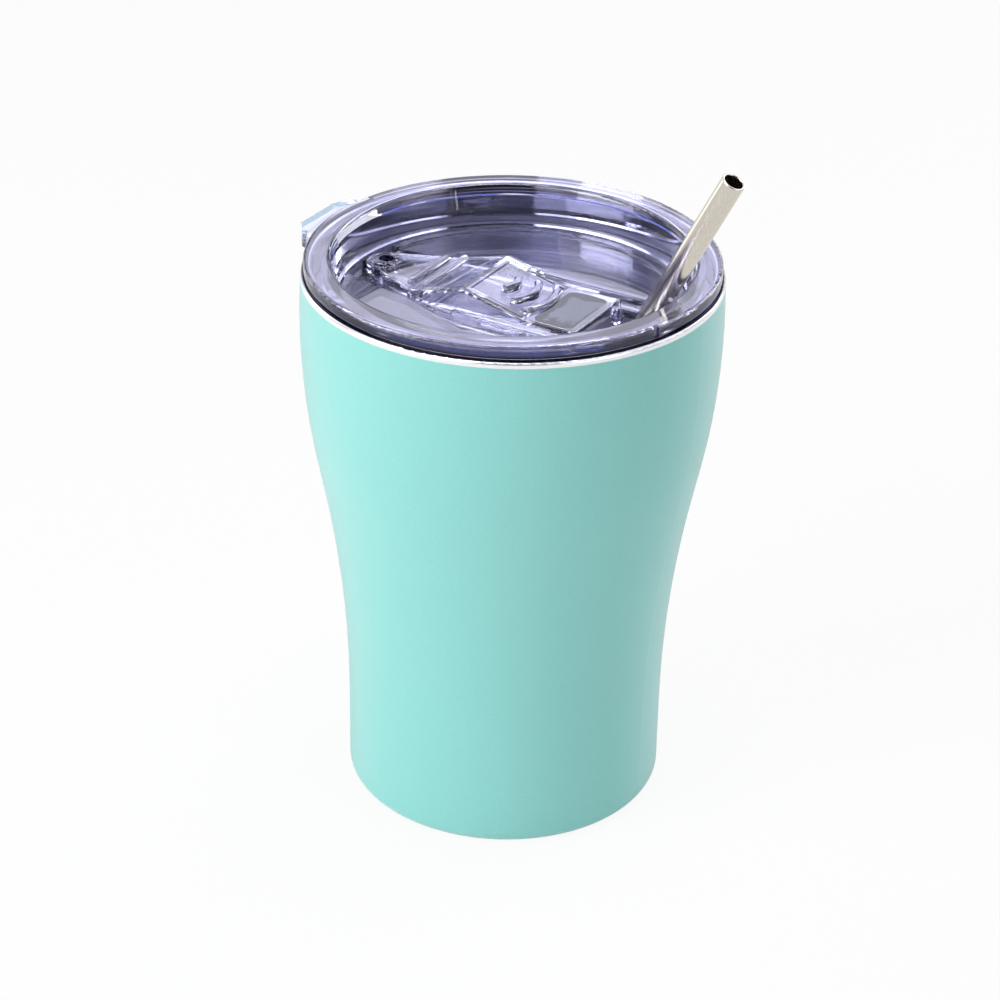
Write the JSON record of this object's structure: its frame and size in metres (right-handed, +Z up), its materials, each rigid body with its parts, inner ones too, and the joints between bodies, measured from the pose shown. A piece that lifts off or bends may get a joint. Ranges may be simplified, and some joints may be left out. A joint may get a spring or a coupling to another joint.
{
  "type": "insulated travel mug",
  "caption": "Double-walled steel travel mug with a waisted body, a clear press-in lid with thumb tab and sliding closure, and a straight steel straw.",
  "frame": {"origin": "centre of the base, on the surface that the mug stands on", "axes": "+Z up along the mug's axis, +X along the lid's slider towards the drinking opening and the straw"},
  "size_m": [0.1009, 0.0898, 0.1546],
  "materials": {
    "shell_paint": "matte mint powder coat",
    "liner_steel": "bright stainless steel",
    "base_steel": "satin stainless steel",
    "solder": "dull solder",
    "getter_alloy": "sintered metal",
    "clear_plastic": "clear with a violet tint",
    "slider_plastic": "clear with a violet tint",
    "seal_silicone": "translucent silicone",
    "plug_silicone": "matte grey silicone",
    "straw_steel": "polished stainless steel"
  },
  "bodies": {
    "cup": {"outer_shell": "shell_paint", "inner_liner": "liner_steel", "liner_bottom": "liner_steel", "base_plate": "base_steel", "evacuation_seal": "solder", "getter": "getter_alloy", "base_cap": "base_steel"},
    "lid": {"lid_body": "clear_plastic", "lid_seal": "seal_silicone"},
    "closure": {"slider": "slider_plastic", "slider_plug": "plug_silicone"},
    "drinking_straw": {"straw": "straw_steel"}
  },
  "joints": [
    {"name": "lid_lift", "type": "slide", "parent": "cup", "child": "lid", "axis": [0, 0, 1], "range_m": [0, 0.13]},
    {"name": "slider_slide", "type": "slide", "parent": "lid", "child": "closure", "axis": [1, 0, 0], "range_m": [0, 0.0063]},
    {"name": "straw_pull", "type": "slide", "parent": "lid", "child": "drinking_straw", "axis": [0.4544, 0, 0.8908], "range_m": [0, 0.125]}
  ]
}
